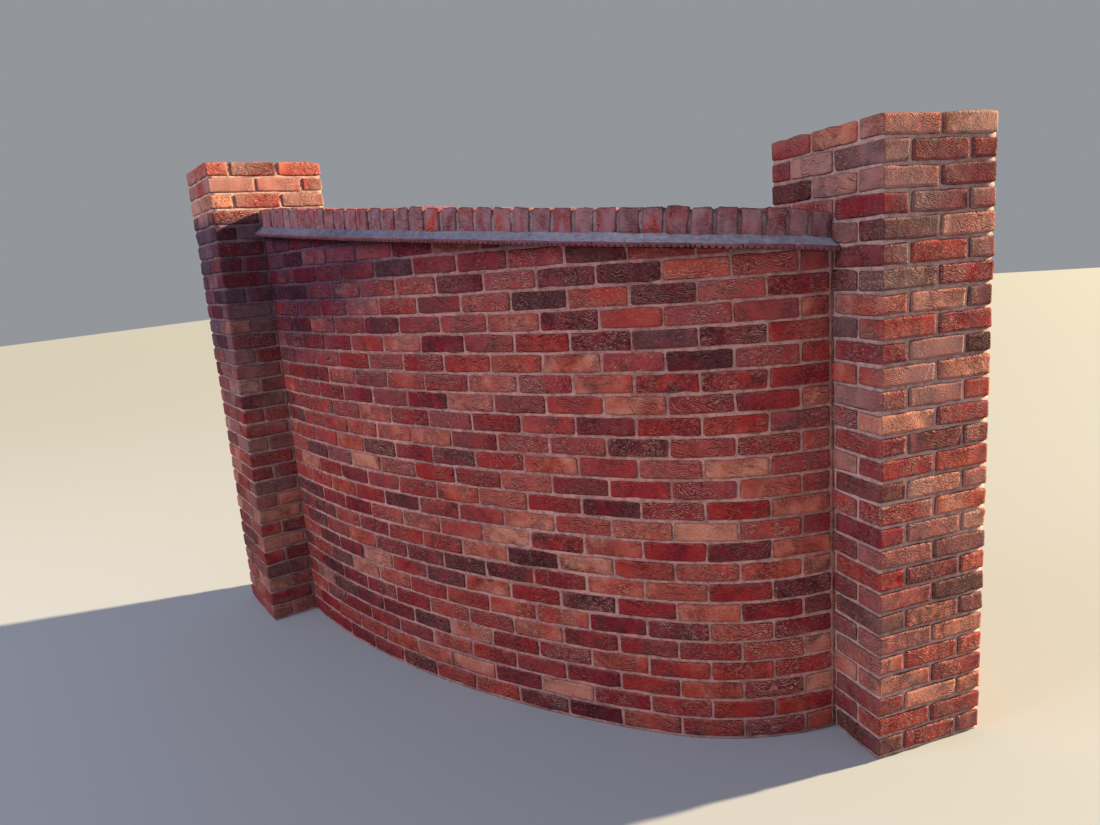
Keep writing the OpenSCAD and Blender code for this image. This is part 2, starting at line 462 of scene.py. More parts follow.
def fired_clay(name, haze, stain, shaded=0.0, film=JOINT_GREY):
    """Handmade brick: the kiln's colours by the brick's firing, clouded, with brindled patches.
    Some bricks are creased and some crumpled, with sand and painted highlights on their crests and
    painted shade in their hollows, and the rest are smooth. A haze of mortar, thinner low down and
    partly painted glare higher up, dulls some of them, and runs of it stain others. Arrises are
    smeared, and darkened by dirt and painted shade."""
    material, paint = new_material(name)
    clay, firing, folds = paint.attribute("clay"), paint.attribute("firing"), paint.attribute("folds")
    tone, brindle, sandy = firing.part(0), firing.part(1), firing.part(2)
    rise, worn_and_shaded = folds.part(1), folds.part(2)
    kind = clay.noise(3.2, 0)
    creased, crumpled = kind.rise(0.49, 0.55), 1 - kind.rise(0.40, 0.47)
    # Creases: |sin| of four to a fold gives round crests with narrow hollows.
    phase = folds.part(0) - rise * rise
    phase = phase + (clay.noise(12, 1) - 0.5) * 1.3 + (clay.noise(34, 1) - 0.5)
    wrinkle = abs(phase.maths("SINE", phase * (4 * np.pi) + (clay.noise(110, 2) - 0.5) * 4.0))
    nested = clay.noise(22, 1).rise(0.34, 0.54) * creased
    step = phase.maths("FRACT", phase)
    crease = (1 - step.rise(0.0, 0.13)) * nested
    # Crumpled skin: thin crests along the veins where noise crosses its mean.
    squashed = clay.stretched(1, 1, 2.0)
    vein = abs(squashed.noise(54, 2, 0.8) - 0.5)
    crumple, thin = (1 - vein * 9).rise(0.0, 0.9), (1 - vein * 15).rise(0.0, 0.8)
    crinkled = clay.noise(16, 1).rise(0.34, 0.54) * (crumpled + creased * 0.5)
    mottle = squashed.noise(85, 3, 0.4)
    grain, crumb = clay.noise(620, 2), clay.noise(230, 2)
    # The kiln's colours
    tone = tone + (clay.noise(11, 3) - 0.5) * 0.7
    colour = tone.ramp((0.0, BUFF), (0.2, ORANGE), (0.42, RED),
                       (0.64, CRIMSON), (0.86, PLUM), (1.0, BRINDLE))
    dark = (clay.noise(13, 3, 0.6) + brindle * 0.45).rise(0.64, 0.86)
    colour = (dark * 0.8).mix(colour, (*BRINDLE, 1))
    # Sand and painted highlights on the crests and crumbs, painted shade in the hollows and between
    # the crumbs, and specks
    crest = wrinkle.rise(0.75, 1.0) * nested + thin * crinkled * 0.75 + mottle.rise(0.54, 0.70) * 0.45
    colour = (crest * (0.22 + sandy * 0.52)).mix(colour, SAND)
    hollow = (1 - wrinkle.rise(0.0, 0.5)) * nested * 0.55 + (1 - crumple) * crinkled * 0.45
    hollow = hollow + crease * 0.6 + (1 - mottle.rise(0.32, 0.48)) * 0.45
    colour = hollow.mix(colour, colour.stretched(0.38, 0.22, 0.24))
    speck = clay.noise(250, 1).rise(0.64, 0.71) * clay.noise(24, 1).rise(0.54, 0.62) * sandy
    colour = speck.mix(colour, SPECK)
    colour = (crumb.rise(0.52, 0.70) * (0.02 + sandy * 0.22)).mix(colour, SAND)
    # Crumbs that lie low are darkened as painted shade.
    colour = ((1 - crumb.rise(0.30, 0.47)) * 0.4).mix(colour, colour.stretched(0.42, 0.36, 0.42))
    # Mortar left on the faces and arrises, dirt and painted shade on the arrises, and the painted shade
    # The haze is thicker higher up, where it is partly painted glare.
    high = paint.place().part(2).rise(0.2, 1.5)
    dull = clay.noise(2.4, 0).rise(0.42, 0.66) * haze * (1 - tone.rise(0.6, 1.0) * 0.6)
    dull = dull * (0.35 + high * 0.65)
    runs = clay.stretched(1, 1, 0.4).noise(34, 2).rise(0.22, 0.66)
    colour = (dull + runs * stain).mix(colour, film)
    colour = (worn_and_shaded * clay.noise(45, 2).rise(0.42, 0.62) * 0.7).mix(colour, film)
    # Where the arrises turn into the joints they are darkened by dirt and painted shade.
    colour = (worn_and_shaded.rise(0.3, 0.95) * 0.6).mix(colour, colour.stretched(0.33, 0.22, 0.25))
    colour = (painted_shade(paint) * shaded).mix(colour, colour.stretched(0.36, 0.42, 0.72))
    height = (wrinkle * nested * 0.0021 + crumple * crinkled * 0.0025 - crease * 0.0026
              + step * nested * 0.0024 + mottle * (crumpled * 0.0026 + creased * 0.0014 + 0.0014)
              + crumb * 0.0017 + grain * 0.0004)
    finish(colour, 0.85 + grain * 0.2 - dark * 0.15, height)
    return material


PIER_FILM = (0.37, 0.235, 0.228, 1)
pier_brick = fired_clay("pier_brick", haze=0.50, stain=0.15, shaded=0.8, film=PIER_FILM)
for pier, (s, left) in PIERS.items():
    courses = round(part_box(pier)[1].z / COURSE)
    for low in range(0, courses, LIFT):
        laid = {}
        for course in range(low, min(low + LIFT, courses)):
            top = course == courses - 1
            end_for_end = (courses - course) % 2 == 0
            for sides, x, y, quarters in COURSE_BRICKS:
                if end_for_end:
                    x, y, quarters = -x, -y, quarters + 2
                laid.setdefault((sides, top), []).append((x, y, quarters, course))
            if top:
                for row in (-1, 0, 1):
                    y = row * (BRICK_W + JOINT)
                    laid.setdefault((ALL_ROUND, top), []).append((0, y, 0, course))
        groups = []
        for (sides, top), places in laid.items():
            x, y, quarters, course = np.array(places, float).T
            plan = set_out(s, left + PIER_W / 2 + x, PIER_D / 2 - SET_BACK + y) - MIDDLE
            z = course * COURSE + JOINT + BRICK_H / 2
            size = np.tile([BRICK_L, BRICK_W, BRICK_H], (len(x), 1))
            size += draw.normal(-SHRINKAGE, UNEVEN, size.shape)
            way = turned(turn(s) + quarters * np.pi / 2)
            groups.append(bricks(size, np.column_stack([plan, z]), way, ALL_ROUND if top else sides,
                                 insets=TOP_INSETS if top else (), shares=PIER_MIXED))
        piece = joined(f"{pier}_bricks_{low // LIFT + 1}", pier_brick, groups)
        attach(piece, "root")
        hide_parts(pier)

# Mortar of the piers
# Lime-rich sand and cement mortar, brushed back a little from the brick faces. It fills the pier
# behind the bricks, so each pier has one piece of it, which shows in the joints.

# How far the mortar lies behind the bricks' faces, how much further in the piers, and how far
# below the top of a pier
RECESS, PIER_DEEPER, TOP_RECESS = 0.0046, 0.0018, 0.007
# A joint stands up in its middle by CROWN, as a bell of this width.
CROWN, BELL = 0.0010, 0.004
# From SHOULDER off a joint's middle the mortar slopes in, until it lies HIDDEN deeper.
SHOULDER, SLOPE, HIDDEN = 0.0035, 0.4, 0.006
# Height and pitch of the mortar's waves
SLOW_WAVE, QUICK_WAVE = (0.0006, 0.05), (0.0003, 0.02)
# Points around each joint, measured from its middle: round the wall, and up it
STRADDLE = np.array([-0.006, 0.0, 0.006, 0.038, 0.075])
STRADDLE_UP = np.array([-0.006, 0.0, 0.006, 0.037])
# Least distance from such a point to the end of its face
CLEAR = 0.004
# The first upright joint of a face that starts with a brick's end, and with its length
AFTER_END, AFTER_BRICK = BRICK_W + JOINT / 2, BRICK_L + JOINT / 2


def stations(length, first, pitch, straddle):
    """Distances along a face that straddle each joint line, and wider ones between."""
    lines = first + pitch * np.arange(-1, int(length / pitch) + 1)
    places = np.unique((lines[:, None] + straddle).ravel())
    return places[(places > CLEAR) & (places < length - CLEAR)]


def from_joint(places, first, pitch):
    """How far places are from the nearest joint line."""
    return abs((places - first + pitch / 2) % pitch - pitch / 2)


def evenly_mapped(points):
    """A group of shapes whose points are spread evenly over their cells of the map."""
    rings_up, around = points.shape[1:3]
    return {"points": points, "across": np.linspace(0, 1, around + 1), "up": np.linspace(0, 1, rings_up)}


def mortar(plan, out, upright, rows, recess):
    """A closed slab of mortar: its outline on plan carried up the rows and set in by the recess.
    Upright holds how far each point is from an upright joint in even courses and in odd ones. The
    depth is recess - CROWN * exp(-(off / BELL) ^ 2) + SLOPE * (off - SHOULDER), held to HIDDEN."""
    z = np.broadcast_to(rows.reshape(len(rows), -1), (len(rows), len(plan)))
    flat = np.concatenate([np.broadcast_to(plan, (*z.shape, 2)), z[..., None]], axis=-1)[None]
    to_upright = np.where(z // COURSE % 2, upright[1], upright[0])
    off = np.minimum(from_joint(z, JOINT / 2, COURSE), to_upright)
    depth = recess - CROWN * np.exp(-(off / BELL) ** 2) + np.clip(SLOPE * (off - SHOULDER), 0, HIDDEN)
    depth = depth + waves(flat, *SLOW_WAVE) + waves(flat, *QUICK_WAVE)
    flat[..., :2] -= depth[..., None] * out
    return evenly_mapped(flat)


def pointing(name, light, dark, shaded=0.0):
    """Sandy mortar: two greys in clouds, with grit, pits in painted shade, and the painted shade over
    them.
    """
    material, paint = new_material(name)
    place = paint.place()
    cloud = place.noise(3.5, 3) * 0.5 + place.noise(46, 4) * 0.5
    grit = place.noise(480, 2)
    colour = cloud.rise(0.36, 0.64).mix(dark, light)
    colour = ((grit - 0.5) * 1.3).mix(colour, light)
    pit = 1 - place.noise(150, 1).rise(0.26, 0.38)
    # Pits are darkened as painted shade.
    colour = (pit * 0.6).mix(colour, colour.stretched(0.4, 0.4, 0.4))
    colour = (painted_shade(paint) * shaded).mix(colour, colour.stretched(0.20, 0.20, 0.34))
    finish(colour, 0.85 + grit * 0.2, grit * 0.0007 + place.noise(90, 2) * 0.0016 - pit * 0.0012)
    return material


joint_mortar = pointing("joint_mortar", (0.52, 0.335, 0.330, 1), (0.27, 0.160, 0.165, 1), shaded=0.6)
for pier, (s, left) in PIERS.items():
    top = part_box(pier)[1].z
    courses = round(top / COURSE)
    plan, out, upright = [], [], []
    for quarter, (length, across) in enumerate([(PIER_W, PIER_D), (PIER_D, PIER_W)] * 2):
        way, along = side_axes(quarter)
        places = stations(length, AFTER_END, (BRICK_L + JOINT) / 2, STRADDLE)
        plan += [
            way * (across / 2) + (places - length / 2)[:, None] * along,
            [way * across / 2 + along * length / 2],
        ]
        out += [np.tile(way, (len(places), 1)), [way + along]]
        # A side that starts with a brick's length has its end in the course above.
        firsts = [AFTER_END, AFTER_BRICK]
        if (quarter in (0, 3)) == bool(courses % 2):
            firsts.reverse()
        upright += [[np.append(from_joint(places, first, BRICK_L + JOINT), JOINT) for first in firsts]]
    plan, out, upright = np.concatenate(plan), np.concatenate(out), np.concatenate(upright, axis=1)
    plan = set_out(s, left + PIER_W / 2 + plan[:, 0], PIER_D / 2 - SET_BACK + plan[:, 1]) - MIDDLE
    c, n = np.cos(turn(s)), np.sin(turn(s))
    out = np.stack([out[:, 0] * c - out[:, 1] * n, out[:, 0] * n + out[:, 1] * c], axis=-1)
    rows = np.concatenate([[0], stations(top, JOINT / 2, COURSE, STRADDLE_UP), [top - TOP_RECESS]])
    slab = mortar(plan, out, upright, rows, RECESS + PIER_DEEPER)
    piece = joined(f"{pier}_mortar", joint_mortar, [slab])
    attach(piece, "root")
    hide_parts(pier)

# Brickwork of the wall
# Two leaves of the same bricks, half a brick thick each, in stretcher bond that starts from the
# left pier. Straight bricks are laid round the curve. The top courses are cut to the rake.

# Depths from the tops of the piers to the top of the wall's bricks, and the slope between
LEFT_DROP, RIGHT_DROP = 0.350, 0.385
LEFT_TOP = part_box("left_pier")[1].z - LEFT_DROP
RIGHT_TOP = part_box("right_pier")[1].z - RIGHT_DROP
RAKE = (LEFT_TOP - RIGHT_TOP) / WALL_L
# Of bricks that are cut: the least height under the rake, how thin a tail may be as a share of a
# whole brick's height, and the shortest that ends a course
LEAST_CUT, THINNEST, SHORTEST = 0.012, 0.1, 0.04
# How much of the wall's curve a brick's face follows, which keeps its ends from standing out far
EASED = 0.6
# How far the wall's bricks are laid out of line
OUT_OF_LINE = 0.0007
# At how many places a leaf is measured to find where the rake cuts a course off
MEASURED = 2000
# Where the back face changes its radius, and the length of that face
INNER_SPRING = SPRING * (LONG_R - BRICK_L) / LONG_R
INNER_L = INNER_SPRING + (WALL_L - SPRING) * (TIGHT_R - BRICK_L) / TIGHT_R
WALL_NODES = [f"wall_segment_{i + 1}" for i in range(SEGMENTS)]


def top_of_wall(s):
    """Height of the brickwork's raked top at distance s."""
    return LEFT_TOP - RAKE * s


def outer_distance(t):
    """Distance along the front face that is square across the wall from distance t along the
    back: t times the front's radius over the back's, counted on from INNER_SPRING past it."""
    long = t * LONG_R / (LONG_R - BRICK_L)
    tight = SPRING + (t - INNER_SPRING) * TIGHT_R / (TIGHT_R - BRICK_L)
    return np.where(t < INNER_SPRING, long, tight)


def leaf(course, length, to_front):
    """Starts and ends of one leaf's bricks along its own face. Every other course starts with half
    a brick, the last brick is cut to fit, and none goes on past where the rake cuts it off."""
    pitch = BRICK_L + JOINT
    starts = np.arange(JOINT + (course % 2) * pitch / 2, length - JOINT - SHORTEST, pitch)
    ends = np.minimum(starts + BRICK_L, length - JOINT)
    if course % 2:
        starts, ends = np.append(JOINT, starts), np.append(starts[0] - JOINT, ends)
    along = np.linspace(0, length, MEASURED)
    room = top_of_wall(to_front(along)) - course * COURSE - JOINT
    limit = along[room > LEAST_CUT].max(initial=0.0)
    keep = starts < limit - SHORTEST
    return starts[keep], np.minimum(ends, limit)[keep]


wall_brick = fired_clay("wall_brick", haze=0.14, stain=0.05, shaded=0.8)
wall_courses = int(np.ceil((LEFT_TOP - JOINT) / COURSE))
for low in range(0, wall_courses, LIFT):
    groups = []
    for length, to_front, back in ((WALL_L, lambda s: s, False), (INNER_L, outer_distance, True)):
        laid = []
        for course in range(low, min(low + LIFT, wall_courses)):
            starts, ends = leaf(course, length, to_front)
            laid.append(np.stack([starts, ends, np.full(len(starts), course)], axis=-1))
        start, end, course = np.concatenate(laid).T
        if not len(start):
            continue
        s = to_front((start + end) / 2)
        r = radius(s) - (BRICK_L if back else 0)
        size = np.column_stack([end - start, np.full(len(s), BRICK_W), np.full(len(s), BRICK_H)])
        size += draw.normal(-SHRINKAGE, UNEVEN, size.shape)
        # The ends of a face stand out from the curve by sag, so it is set back by half of that.
        sag = (1 - EASED) * (end - start) ** 2 / 8 / r
        y = BRICK_L - BRICK_W / 2 if back else BRICK_W / 2
        y = y + sag / 2 + draw.normal(0, OUT_OF_LINE, len(s))
        foot = course * COURSE + JOINT
        middle = np.column_stack([set_out(s, 0, y) - MIDDLE, foot + BRICK_H / 2])
        group = bricks(size, middle, turned(turn(s) + (np.pi if back else 0)), FACE,
                       bend=EASED / r * (-1 if back else 1))
        # A brick under the rake is cut as a wedge: its height is scaled to the room that it has.
        x = group["local"][..., 0] * (-1 if back else 1) * (radius(s) / r)[:, None, None]
        room = (top_of_wall(s[:, None, None] + x) - foot[:, None, None]) / BRICK_H
        z = group["points"][..., 2] - foot[:, None, None]
        group["points"][..., 2] = foot[:, None, None] + z * np.clip(room, THINNEST, 1)
        groups.append(group)
    piece = joined(f"wall_bricks_{low // LIFT + 1}", wall_brick, groups)
    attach(piece, "root")
    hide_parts(*WALL_NODES)

# Mortar of the wall
# The same mortar between and behind the wall's bricks, from the ground to the creasing, and into
# the joint against each pier.

# How far the mortar goes in between the wall and each pier, and up into the creasing
INTO_PIER, INTO_CREASING = 0.006, 0.001
# Straight bricks leave the curve further where it is tight, so the mortar lies this much deeper
# there, and twice as much on the inside.
TIGHT_DEEPER = 0.0012
# Rows of points between the last level joint below the rake and the rake
RAKED_ROWS = 17
bond = BRICK_L + JOINT
front_s = stations(WALL_L, JOINT / 2, bond / 2, STRADDLE)
back_t = stations(INNER_L, JOINT / 2, bond / 2, STRADDLE)
s = np.concatenate([[0], front_s, [WALL_L, WALL_L], outer_distance(back_t)[::-1], [0]])
front_end = len(front_s) + 1
x = np.zeros_like(s)
x[[0, -1]] = -INTO_PIER
x[[front_end, front_end + 1]] = INTO_PIER
inner = np.arange(len(s)) > front_end
plan = set_out(s, x, np.where(inner, BRICK_L, 0.0)) - MIDDLE
a = turn(s)
out = np.stack([np.sin(a), -np.cos(a)], axis=-1) * np.where(inner, -1, 1)[:, None]
upright = []
for first in (JOINT / 2, JOINT + BRICK_L / 2):
    front_off = np.minimum(from_joint(front_s, first, bond), from_joint(front_s, 0, WALL_L))
    back_off = np.minimum(from_joint(back_t, first, bond), from_joint(back_t, 0, INNER_L))
    upright.append(np.concatenate([[0], front_off, [0, 0], back_off[::-1], [0]]))
level_rows = np.append(0, stations(RIGHT_TOP - COURSE / 2, JOINT / 2, COURSE, STRADDLE_UP))
share = np.linspace(0, 1, RAKED_ROWS + 1)[1:, None]
raked_rows = level_rows[-1] + share * (top_of_wall(s) + INTO_CREASING - level_rows[-1])
rows = np.concatenate([np.tile(level_rows[:, None], (1, len(s))), raked_rows])
recess = RECESS + np.where(s < SPRING, 0, TIGHT_DEEPER) + np.where(inner & (s > SPRING), TIGHT_DEEPER, 0)
wall_mortar = pointing("wall_mortar", (0.56, 0.295, 0.285, 1), (0.28, 0.130, 0.128, 1), shaded=0.9)
piece = joined("wall_mortar", wall_mortar, [mortar(plan, out, upright, rows, recess)])
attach(piece, "root")
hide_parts(*WALL_NODES)

# Creasing of clay tiles
# Plain clay tiles in two rows that meet over the middle of the wall, ribbed underneath for the
# mortar. Their front edges stand 40 mm out as a drip, and show the ribs as scallops.
TILE_T, TILE_GAP = 0.015, 0.003
TILE_D = BRICK_L / 2 + TILE_PROJ - TILE_GAP / 2
TILES = 2 * SEGMENTS
# Ribs under a tile, the depth of the grooves between them, and the points in the section of a
# tile: across its top, and across one rib
RIBS, RIB_D = 7, 0.008
TOP_POINTS, RIB_POINTS = 11, 8
# How wide a tile is at its ribs, as a share of its top, and how far its top arrises are worn
DRAFT, TILE_WEAR = 0.985, 0.0012
# How far in from a tile's front edge its section is repeated, and its height there as a share
TILE_STATIONS = np.array([0, 0.0015, 0.004, 0.012, 0.03, 0.055, 0.08, 0.105, 0.13, TILE_D - 0.002, TILE_D])
TILE_HEIGHTS = np.array([0.8, 0.95, 1, 1, 1, 1, 1, 1, 1, 1, 0.9])
# Height and pitch of a tile's waves, and which way they move its skin
TILE_SLOW, TILE_QUICK, TILE_PUSH = (0.0007, 0.05), (0.0004, 0.017), (0.3, -1, 0.6)
# How far the tiles are laid out of line and off their height, and rocked, in radians
TILE_OUT, TILE_OFF, TILE_ROCK = 0.001, 0.0004, 0.004
# Linear colours of the tiles' clay
PALE_TILE, MID_TILE, DARK_TILE = (0.21, 0.088, 0.115), (0.160, 0.056, 0.080), (0.095, 0.034, 0.052)
RAKE_ANGLE = np.arctan(RAKE)


def on_rake(s, lean=0.0):
    """Axes, as rows, of shapes at distances s that lie on the rake: along it, into the wall, and
    square to it, tilted further by lean."""
    a, tilt = turn(s), RAKE_ANGLE + lean
    along = np.stack([np.cos(a) * np.cos(tilt), np.sin(a) * np.cos(tilt), -np.sin(tilt) + 0 * a], axis=-1)
    inward = np.stack([-np.sin(a), np.cos(a), 0 * a], axis=-1)
    return np.stack([along, inward, np.cross(along, inward)], axis=1)


def tiles(s, front_w, back_w, y):
    """Tiles of these widths whose front edges are y in from the wall's face. The section is a flat
    top and an underside with grooves RIB_D * sqrt(cos) between its ribs, carried in along the tile."""
    x_top = np.linspace(-1, 1, TOP_POINTS)
    x_rib = np.linspace(1, -1, RIB_POINTS * RIBS + 1)
    rib = RIB_D * np.sqrt(np.clip(-np.cos(np.pi * RIBS * (x_rib + 1)), 0, 1))
    across = np.concatenate([x_top, [1.0], x_rib[1:-1] * DRAFT, [-1.0]])
    high = np.concatenate([np.full(TOP_POINTS, TILE_T), [TILE_T / 2], rib[1:-1], [TILE_T / 2]])
    high[[0, TOP_POINTS - 1]] -= TILE_WEAR
    width = front_w[:, None] + (back_w - front_w)[:, None] * TILE_STATIONS / TILE_D
    points = np.stack(np.broadcast_arrays(
        width[..., None] / 2 * across,
        TILE_STATIONS[:, None] + 0.0 * across,
        (high - TILE_T / 2) * TILE_HEIGHTS[:, None] + TILE_T / 2,
    ), axis=-1)
    wear = waves(points, *TILE_SLOW) + waves(points, *TILE_QUICK)
    clay = points + draw.uniform(0, CLAY_SPREAD, (len(s), 1, 1, 3))
    points = points + wear[..., None] * TILE_PUSH
    way = on_rake(s, draw.normal(0, TILE_ROCK, len(s)))
    plan = set_out(s, 0, y + draw.normal(0, TILE_OUT, len(s))) - MIDDLE
    middle = np.column_stack([plan, top_of_wall(s) + draw.normal(0, TILE_OFF, len(s))])
    place = np.einsum("srpc,scw->srpw", points, way) + middle[:, None, None]
    fire = np.broadcast_to(fired(len(s))[:, None, None], points.shape)
    return evenly_mapped(place) | {"clay": clay, "firing": fire}


def tile_clay(name):
    """Sanded tile clay, duller and darker than the bricks, in clouds, with grain."""
    material, paint = new_material(name)
    clay, tone = paint.attribute("clay"), paint.attribute("firing").part(0)
    grain = clay.noise(560, 2)
    tone = tone * 0.5 + (clay.noise(22, 3) - 0.5) * 0.5 + 0.08
    colour = tone.ramp((0.0, PALE_TILE), (0.45, MID_TILE), (1.0, DARK_TILE))
    colour = ((grain - 0.5) * 0.6).mix(colour, SAND)
    finish(colour, 0.82 + grain * 0.2, grain * 0.0005 + clay.noise(70, 2) * 0.0010)
    return material


creasing_clay = tile_clay("creasing_tile")
s = (np.arange(TILES) + 0.5) * WALL_L / TILES
groups = []
for row in (0, 1):
    y = row * (TILE_D + TILE_GAP) - TILE_PROJ
    front_w, back_w = (WALL_L / TILES * (radius(s) - edge) / radius(s) - TILE_GAP
                       for edge in (y, y + TILE_D))
    groups.append(tiles(s, front_w, back_w, y))
piece = joined("creasing_tiles", creasing_clay, groups)
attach(piece, "root")
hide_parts(*[f"creasing_tiles_{i + 1}" for i in range(SEGMENTS)])

# Bed and fillets of mortar
# A bed under the coping, which also fills the joints between the tiles, and on either side a
# fillet that is trowelled smooth from the coping down to the tile edges, to shed the rain.
BED_T, FILLET_H = 0.009, 0.029
COPING_Z = TILE_T + BED_T
# Bare tile in front of the fillet, the thickness of the fillet's toe, and how far its slope is
# dished
TILE_EDGE, TOE_T, DISHED = 0.004, 0.0015, 0.002
# How far the mortar reaches in behind the coping's face, at the bed and at the fillet's top
IN_AT_BED, IN_AT_TOP = 0.010, 0.008
# How far mortar laps what it lies against, is sunk into the tiles, and is undercut at its toe
LAP, SUNK, UNDERCUT = 0.001, 0.004, 0.005
# How ragged the fillet is: under the coping, at its upper edge, on its slope and at its toe
TUCKED, UPPER, TROWELLED, AT_TOE = 0.0003, 0.0016, 0.0007, 0.0012
# Height, as a share of that, and pitch of the waves in it: inward and upward
RAGGED_IN, RAGGED_UP = ((1, 0.11), (0.6, 0.035)), ((1, 0.13), (0.6, 0.04))
# Points down the slope, and sections along the wall
SLOPE_POINTS, SECTIONS = 9, 261
# How far the mortar runs on into the piers
FILLET_LAP = 0.002


def carried_along(s, y, z, stir):
    """A section, of points y in from the front face and z up from the rake, carried along
    distances s. Each point is moved in and up by a slow and a quick wave of its own size, stir."""
    flat = np.stack(np.broadcast_arrays(s[:, None], y, z), axis=-1)[None]
    y = y + stir * sum(waves(flat, *wave) for wave in RAGGED_IN)[0]
    z = z + stir * sum(waves(flat, *wave) for wave in RAGGED_UP)[0]
    z = top_of_wall(s)[:, None] + z / np.cos(RAKE_ANGLE)
    points = np.concatenate([set_out(s[:, None], 0, y) - MIDDLE, z[..., None]], axis=-1)[None]
    return evenly_mapped(points)


# Half the section, from the middle of the bed: out under the coping and up behind its face, down
# the slope, round the toe and back through the tiles
toe = TILE_PROJ - TILE_EDGE
t = np.linspace(0, 1, SLOPE_POINTS)
slope = TOE_T + (FILLET_H - TOE_T) * (1 - t) - DISHED * np.sin(np.pi * t)
front_y = np.concatenate([
    [BRICK_L / 2, IN_AT_BED, IN_AT_TOP],
    -toe * t,
    [-toe - LAP, -toe + UNDERCUT, IN_AT_TOP, IN_AT_BED],
])
front_z = np.concatenate([
    [BED_T + LAP, BED_T + LAP, FILLET_H - LAP],
    slope,
    [-LAP / 2, -SUNK, -SUNK, -TILE_T],
])
front_z += TILE_T
front_stir = np.array([0, 0, TUCKED, UPPER] + [TROWELLED] * (SLOPE_POINTS - 2) + [AT_TOE] * 2 + [0] * 3)
# The back is the front turned round, without its point in the middle of the bed.
y = np.concatenate([front_y, BRICK_L - front_y[:0:-1]])
z = np.concatenate([front_z, front_z[:0:-1]])
stir = np.concatenate([front_stir, front_stir[:0:-1]])
fillet_mortar = pointing("fillet_mortar", (0.34, 0.335, 0.43, 1), (0.20, 0.185, 0.250, 1), shaded=0.5)
along_wall = np.linspace(-FILLET_LAP, WALL_L + FILLET_LAP, SECTIONS)
piece = joined("fillets", fillet_mortar, [carried_along(along_wall, y, z, stir)])
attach(piece, "root")
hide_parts(*[f"mortar_bed_{i + 1}" for i in range(SEGMENTS)])

# Coping of bricks on edge
# Thirty-six bricks stand on edge across the wall, on their bed, square to the rake. They are laid
# by eye, so their tops rise and fall a little, and are cut narrower where the curve crowds them.
# One run of mortar, brushed back, fills the joints between them.
COPING_BRICKS = 4 * SEGMENTS
COPING_W = 0.069
# The narrowest joint where the bricks crowd, and how deep the joints are brushed
LEAST_JOINT, JOINT_D = 0.004, 0.004
# Points across a coping brick, along it and up it, rings on its top, and its worn arris
COPING_POINTS = (8, 17, 9)
COPING_INSETS = (0.3, 0.6, 0.9)
COPING_ARRIS = 0.007
# How far the coping bricks differ in size and in height, and are laid out of line and rocked, in
# radians
COPING_UNEVEN, COPING_OUT, COPING_ROCK = 0.0016, 0.0012, 0.010
COPING_MIXED = [0.0, 0.02, 0.10, 0.40, 0.34, 0.14]
COPING_FILM = (0.28, 0.150, 0.190, 1)
COPING_NODES = [f"coping_bricks_{i + 1}" for i in range(SEGMENTS)]
coping_brick = fired_clay("coping_brick", haze=0.2, stain=0.85, film=COPING_FILM)
pitch = WALL_L / COPING_BRICKS
s = (np.arange(COPING_BRICKS) + 0.5) * pitch
back_w = np.minimum(COPING_W, pitch * (radius(s) - BRICK_L) / radius(s) - LEAST_JOINT)
size = np.tile([COPING_W, BRICK_L, BRICK_W], (len(s), 1))
size += draw.normal(0, COPING_UNEVEN, size.shape)
up = COPING_Z + BRICK_W / 2 + draw.normal(0, COPING_UNEVEN, len(s))
plan = set_out(s, 0, BRICK_L / 2 + draw.normal(0, COPING_OUT, len(s))) - MIDDLE
middle = np.column_stack([plan, top_of_wall(s) + up / np.cos(RAKE_ANGLE)])
narrow_side, long_side, upright_stops = (tuple(np.linspace(-1, 1, count)) for count in COPING_POINTS)
way = on_rake(s, draw.normal(0, COPING_ROCK, len(s)))
group = bricks(size, middle, way, (narrow_side, long_side) * 2, stops=upright_stops,
               insets=COPING_INSETS, rounded=True, arris=COPING_ARRIS, shares=COPING_MIXED)
local = group["local"]
narrower = (back_w / COPING_W - 1)[:, None, None] * (local[..., 1] / BRICK_L + 0.5)
group["points"] += (local[..., 0] * narrower)[..., None] * on_rake(s)[:, None, None, 0]
piece = joined("coping_bricks", coping_brick, [group])
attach(piece, "root")
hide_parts(*COPING_NODES)

# The run of mortar is a circle of so many points, SQUARED times too big and clipped to the
# coping's section, and as rough as BRUSHED. It has sections around each joint from end to end of
# the wall, and slopes in behind the bricks past COPING_SHOULDER from a joint's middle.
CIRCLE_POINTS, SQUARED, BRUSHED = 24, 1.3, 0.0009
COPING_STRADDLE, SLACK = [-0.018, -0.010, -0.005, 0, 0.005, 0.010, 0.018], 0.003
COPING_SHOULDER, COPING_SLOPE = 0.006, 0.7
s = (np.arange(COPING_BRICKS + 1)[:, None] * pitch + COPING_STRADDLE).ravel()
s = s[(s > -SLACK) & (s < WALL_L + SLACK)]
behind = np.clip(COPING_SLOPE * (from_joint(s, 0, pitch) - COPING_SHOULDER), 0, HIDDEN)
depth = JOINT_D + behind[:, None]
a = np.linspace(0, 2 * np.pi, CIRCLE_POINTS + 1)[:-1]
y = BRICK_L / 2 + np.clip(SQUARED * np.cos(a), -1, 1) * (BRICK_L / 2 - depth)
z = COPING_Z + BRICK_W / 2 + np.clip(SQUARED * np.sin(a), -1, 1) * (BRICK_W / 2 - depth)
coping_mortar = pointing("coping_mortar", (0.27, 0.190, 0.220, 1), (0.14, 0.100, 0.120, 1))
piece = joined("coping_joints", coping_mortar, [carried_along(s, y, z, BRUSHED)])
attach(piece, "root")
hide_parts(*COPING_NODES)

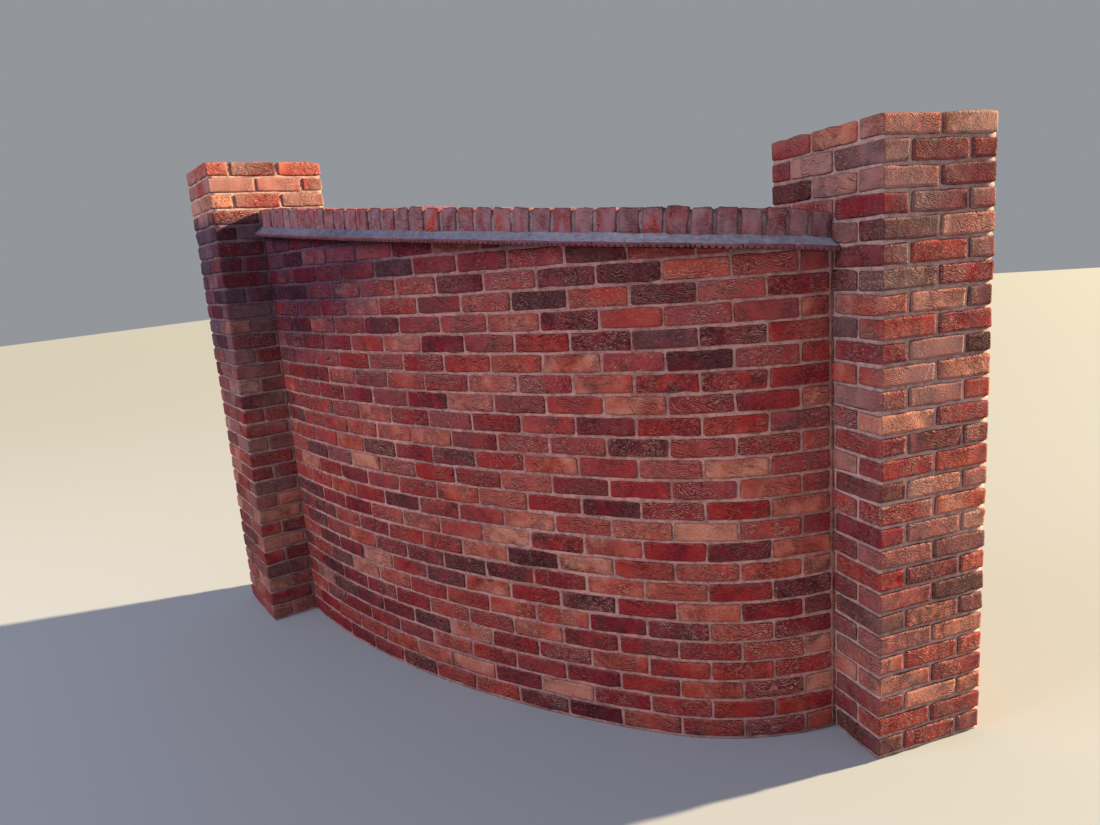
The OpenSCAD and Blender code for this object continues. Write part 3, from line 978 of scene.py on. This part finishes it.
# Studio
# A plain pale floor, a low warm sun from behind on the right that rakes the pier's outer side, a
# high soft fill in front on the left, a weak lamp near the right pier, and pale air.
FLOOR_HALF = 30.0
floor_mesh = bpy.data.meshes.new("floor")
floor_corners = [(x * FLOOR_HALF, y * FLOOR_HALF, 0) for x, y in ((-1, -1), (1, -1), (1, 1), (-1, 1))]
floor_mesh.from_pydata(floor_corners, [], [(0, 1, 2, 3)])
floor = bpy.data.objects.new("floor", floor_mesh)
bpy.context.scene.collection.objects.link(floor)
floor_material, _ = new_material("floor")
floor_shader = floor_material.node_tree.nodes["Principled BSDF"]
floor_shader.inputs["Base Color"].default_value = (0.31, 0.335, 0.40, 1)
floor_shader.inputs["Roughness"].default_value = 0.9
floor_mesh.materials.append(floor_material)


def lamp(name, kind, place, power, colour):
    """A lamp of this kind, turned from its place to the middle of the wall."""
    light = bpy.data.lights.new(name, kind)
    light.energy, light.color = power, colour
    made = bpy.data.objects.new(name, light)
    made.location = place
    made.rotation_euler = (Vector((0, 0, 1)) - made.location).to_track_quat("-Z", "Y").to_euler()
    bpy.context.scene.collection.objects.link(made)
    return light


key = lamp("key", "SUN", (7.25, 5.27, 4.15), 17.0, (1.0, 0.79, 0.44))
key.angle = np.radians(2.0)
fill = lamp("fill", "AREA", (-4.2, -5.0, 6.0), 345, (0.98, 0.95, 1.0))
fill.size = 3.5
near = lamp("near", "AREA", (2.7, -2.2, 1.6), 6, (0.96, 0.96, 1.0))
near.size = 1.4
world = bpy.data.worlds.new("studio")
world.use_nodes = True
air = world.node_tree.nodes["Background"]
air.inputs["Color"].default_value = (0.88, 0.93, 1.0, 1)
air.inputs["Strength"].default_value = 0.33
bpy.context.scene.world = world
bpy.context.scene.view_settings.view_transform = "Standard"

# Camera
# Stands in front of the lower pier at eye height, looks along the wall and a little down.
LENS, FILM_W = 25.47, 36.0
STANDS_AT = (1.4052, -3.0856, 1.7568)
HEADING, DOWN, ROLL = np.radians([21.99, 11.13, -4.39])
camera_data = bpy.data.cameras.new("camera")
camera_data.lens, camera_data.sensor_width = LENS, FILM_W
camera = bpy.data.objects.new("camera", camera_data)
camera.matrix_world = (
    Matrix.Translation(STANDS_AT) @ Matrix.Rotation(HEADING, 4, "Z")
    @ Matrix.Rotation(np.pi / 2 - DOWN, 4, "X") @ Matrix.Rotation(ROLL, 4, "Z")
)
bpy.context.scene.collection.objects.link(camera)
bpy.context.scene.camera = camera
